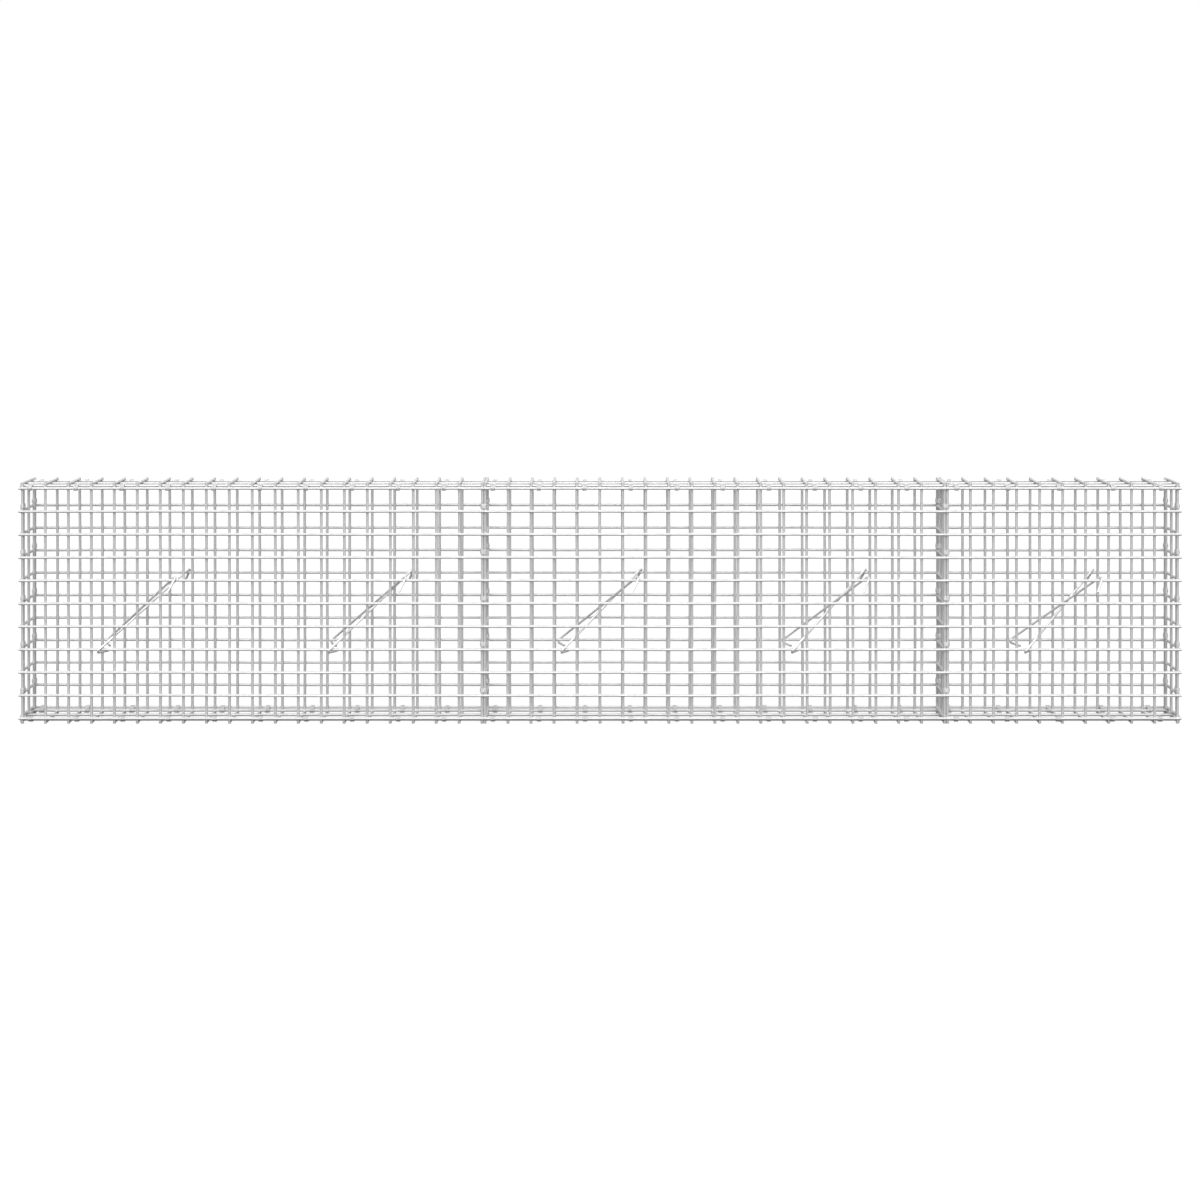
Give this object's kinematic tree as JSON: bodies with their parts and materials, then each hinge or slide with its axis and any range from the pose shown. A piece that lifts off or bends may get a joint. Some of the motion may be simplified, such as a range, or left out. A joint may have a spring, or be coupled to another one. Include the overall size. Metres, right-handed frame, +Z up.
{
  "type": "gabion wall basket",
  "caption": "Long narrow gabion wall basket of welded square mesh, with lid, base, diaphragms at the bay seams, edge clips and crossed hooked ties between its two faces.",
  "frame": {"origin": "middle of the wall's length and depth, on the ground under the base cross wires", "axes": "+X along the wall, from the first wide bay to the narrow end bay; +Y from the front face to the back face; +Z up"},
  "size_m": [2.5276, 0.1382, 0.524],
  "materials": {
    "mesh_wire": "hot-dip galvanised, dull grey with a faint spangle",
    "clip_wire": "galvanised, slightly darker than the mesh",
    "tie_wire": "bright drawn galvanised wire"
  },
  "bodies": {
    "root": {"front_panel_1": "mesh_wire", "front_panel_2": "mesh_wire", "front_panel_3": "mesh_wire", "back_panel_1": "mesh_wire", "back_panel_2": "mesh_wire", "back_panel_3": "mesh_wire", "lid_panel_1": "mesh_wire", "lid_panel_2": "mesh_wire", "lid_panel_3": "mesh_wire", "base_panel_1": "mesh_wire", "base_panel_2": "mesh_wire", "base_panel_3": "mesh_wire", "end_panel_left": "mesh_wire", "end_panel_right": "mesh_wire", "diaphragm_1": "mesh_wire", "diaphragm_2": "mesh_wire", "top_front_clips_1": "clip_wire", "top_front_clips_2": "clip_wire", "top_front_clips_3": "clip_wire", "top_back_clips_1": "clip_wire", "top_back_clips_2": "clip_wire", "top_back_clips_3": "clip_wire", "bottom_front_clips_1": "clip_wire", "bottom_front_clips_2": "clip_wire", "bottom_front_clips_3": "clip_wire", "bottom_back_clips_1": "clip_wire", "bottom_back_clips_2": "clip_wire", "bottom_back_clips_3": "clip_wire", "corner_clips_left_front": "clip_wire", "corner_clips_left_back": "clip_wire", "corner_clips_right_front": "clip_wire", "corner_clips_right_back": "clip_wire", "seam_clips_1_front": "clip_wire", "seam_clips_1_back": "clip_wire", "seam_clips_2_front": "clip_wire", "seam_clips_2_back": "clip_wire", "tie_pair_1": "tie_wire", "tie_pair_2": "tie_wire", "tie_pair_3": "tie_wire", "tie_pair_4": "tie_wire", "tie_pair_5": "tie_wire"}
  },
  "joints": []
}
